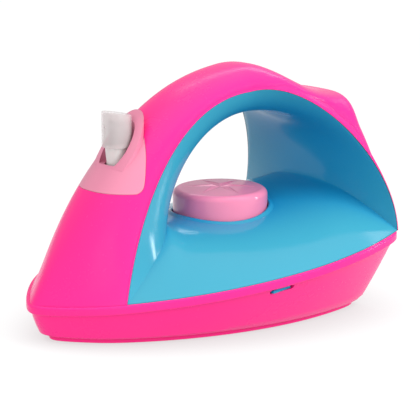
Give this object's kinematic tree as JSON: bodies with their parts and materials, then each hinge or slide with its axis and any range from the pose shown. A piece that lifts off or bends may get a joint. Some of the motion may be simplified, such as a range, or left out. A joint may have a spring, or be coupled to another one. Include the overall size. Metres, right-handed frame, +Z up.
{
  "type": "toy iron",
  "caption": "Toy clothes iron with an arched grip over a blue deck, a turning dial, a sprung push-down spray cap and a flat sole.",
  "frame": {"origin": "on the underside of the flat sole, under the middle of the body's length", "axes": "+X towards the heel, -X towards the pointed nose, +Y to the far side, +Z up out of the sole"},
  "size_m": [0.2003, 0.1572, 0.1338],
  "materials": {
    "hot_pink_shell": "glossy hot pink moulded plastic",
    "light_pink_trim": "glossy light pink moulded plastic",
    "sky_blue_body": "glossy sky blue moulded plastic",
    "clear_smoke": "translucent grey moulded plastic",
    "soft_white": "satin natural white plastic",
    "bright_steel": "plated steel",
    "grey_rubber": "soft grey rubber"
  },
  "bodies": {
    "iron": {"sole_plate": "light_pink_trim", "base_tray": "hot_pink_shell", "deck_insert": "sky_blue_body", "cover_shell": "hot_pink_shell", "nozzle_panel": "light_pink_trim", "heel_panel": "light_pink_trim", "dial_bushing": "soft_white", "click_spring": "bright_steel", "pump_spring": "bright_steel", "pump_body": "soft_white", "pump_collar": "soft_white", "check_ball": "bright_steel", "dip_tube": "clear_smoke", "water_bottle": "clear_smoke", "bottle_gasket": "grey_rubber", "case_screws": "bright_steel"},
    "dial": {"dial_knob": "light_pink_trim", "detent_wheel": "soft_white", "dial_washer": "bright_steel", "dial_screw": "bright_steel"},
    "spray": {"spray_cap": "clear_smoke", "pump_stem": "soft_white"}
  },
  "joints": [
    {"name": "dial_turn", "type": "hinge", "parent": "iron", "child": "dial", "pos_m": [0.027, 0, 0.0502], "axis": [0, 0, 1], "continuous": true},
    {"name": "spray_press", "type": "slide", "parent": "iron", "child": "spray", "axis": [0, 0, -1], "range_m": [0, 0.0045], "stiffness_N_per_m": 400, "springref_m": -0.003, "deforming": ["pump_spring"]}
  ]
}
